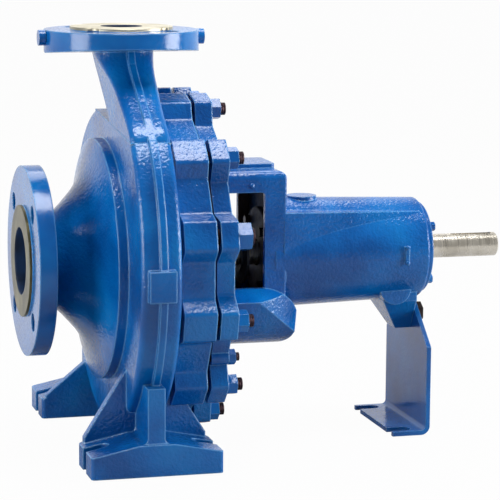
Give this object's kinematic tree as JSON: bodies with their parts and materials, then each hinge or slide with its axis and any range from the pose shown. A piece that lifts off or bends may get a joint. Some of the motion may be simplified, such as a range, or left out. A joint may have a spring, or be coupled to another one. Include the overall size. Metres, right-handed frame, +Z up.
{
  "type": "end-suction centrifugal pump",
  "caption": "End-suction centrifugal pump with spiral casing, closed impeller, shaft seal, windowed bearing bracket, bare shaft end and support foot.",
  "frame": {"origin": "point on the base plane of the feet, straight below the centre of the discharge flange", "axes": "+X along the shaft towards its drive end, +Z up along the discharge axis, -Y to the side with the square casing pad"},
  "size_m": [0.488, 0.3433, 0.405],
  "materials": {
    "blue_enamel": "glossy blue enamel over sand-cast iron",
    "cast_iron": "machined grey cast iron",
    "bronze": "machined bronze",
    "dark_steel": "black oxide steel",
    "zinc_steel": "zinc-plated steel",
    "bright_steel": "turned and ground steel",
    "cage_steel": "pressed brass",
    "seal_carbon": "resin-bonded carbon",
    "seal_ceramic": "lapped ceramic",
    "black_rubber": "nitrile rubber",
    "gasket_fibre": "compressed fibre sheet"
  },
  "bodies": {
    "pump_body": {"volute_casing": "blue_enamel", "casing_wear_ring": "bronze", "casing_cover": "cast_iron", "cover_wear_ring": "bronze", "casing_gasket": "gasket_fibre", "casing_studs": "dark_steel", "casing_nuts": "blue_enamel", "heavy_studs": "dark_steel", "heavy_nuts": "blue_enamel", "forcing_screws": "dark_steel", "forcing_nuts": "blue_enamel", "gauge_plugs": "blue_enamel", "drain_plug": "blue_enamel", "seal_seat": "seal_ceramic", "seal_cover": "cast_iron", "seal_cover_bolts": "zinc_steel", "front_bearing_outer_ring": "bright_steel", "rear_bearing_outer_ring": "bright_steel", "bearing_bracket": "blue_enamel", "front_bearing_cover": "blue_enamel", "rear_bearing_cover": "blue_enamel", "front_lip_seal": "black_rubber", "rear_lip_seal": "black_rubber", "front_cover_screws": "dark_steel", "rear_cover_screws": "blue_enamel", "support_foot": "blue_enamel", "support_washer": "dark_steel", "support_bolt": "dark_steel"},
    "rotor": {"shaft": "bright_steel", "impeller": "cast_iron", "impeller_key": "bright_steel", "impeller_washer": "dark_steel", "impeller_nut": "bright_steel", "shaft_sleeve": "bright_steel", "seal_collar": "bright_steel", "seal_bellows": "bright_steel", "seal_face_ring": "seal_carbon", "deflector_ring": "black_rubber", "front_bearing_inner_ring": "bright_steel", "rear_bearing_inner_ring": "bright_steel", "shaft_circlip": "bright_steel"},
    "front_ball_set": {"front_bearing_balls": "bright_steel", "front_bearing_cage": "cage_steel"},
    "rear_ball_set": {"rear_bearing_balls": "bright_steel", "rear_bearing_cage": "cage_steel"}
  },
  "joints": [
    {"name": "rotor_spin", "type": "hinge", "parent": "pump_body", "child": "rotor", "pos_m": [0, 0, 0.18], "axis": [1, 0, 0], "continuous": true},
    {"name": "front_cage_spin", "type": "hinge", "parent": "pump_body", "child": "front_ball_set", "pos_m": [0.1685, 0, 0.18], "axis": [1, 0, 0], "continuous": true},
    {"name": "rear_cage_spin", "type": "hinge", "parent": "pump_body", "child": "rear_ball_set", "pos_m": [0.2865, 0, 0.18], "axis": [1, 0, 0], "continuous": true}
  ],
  "couplings": [
    {"joint": "front_cage_spin", "follows": "rotor_spin", "ratio": 0.3678},
    {"joint": "rear_cage_spin", "follows": "rotor_spin", "ratio": 0.3678}
  ]
}
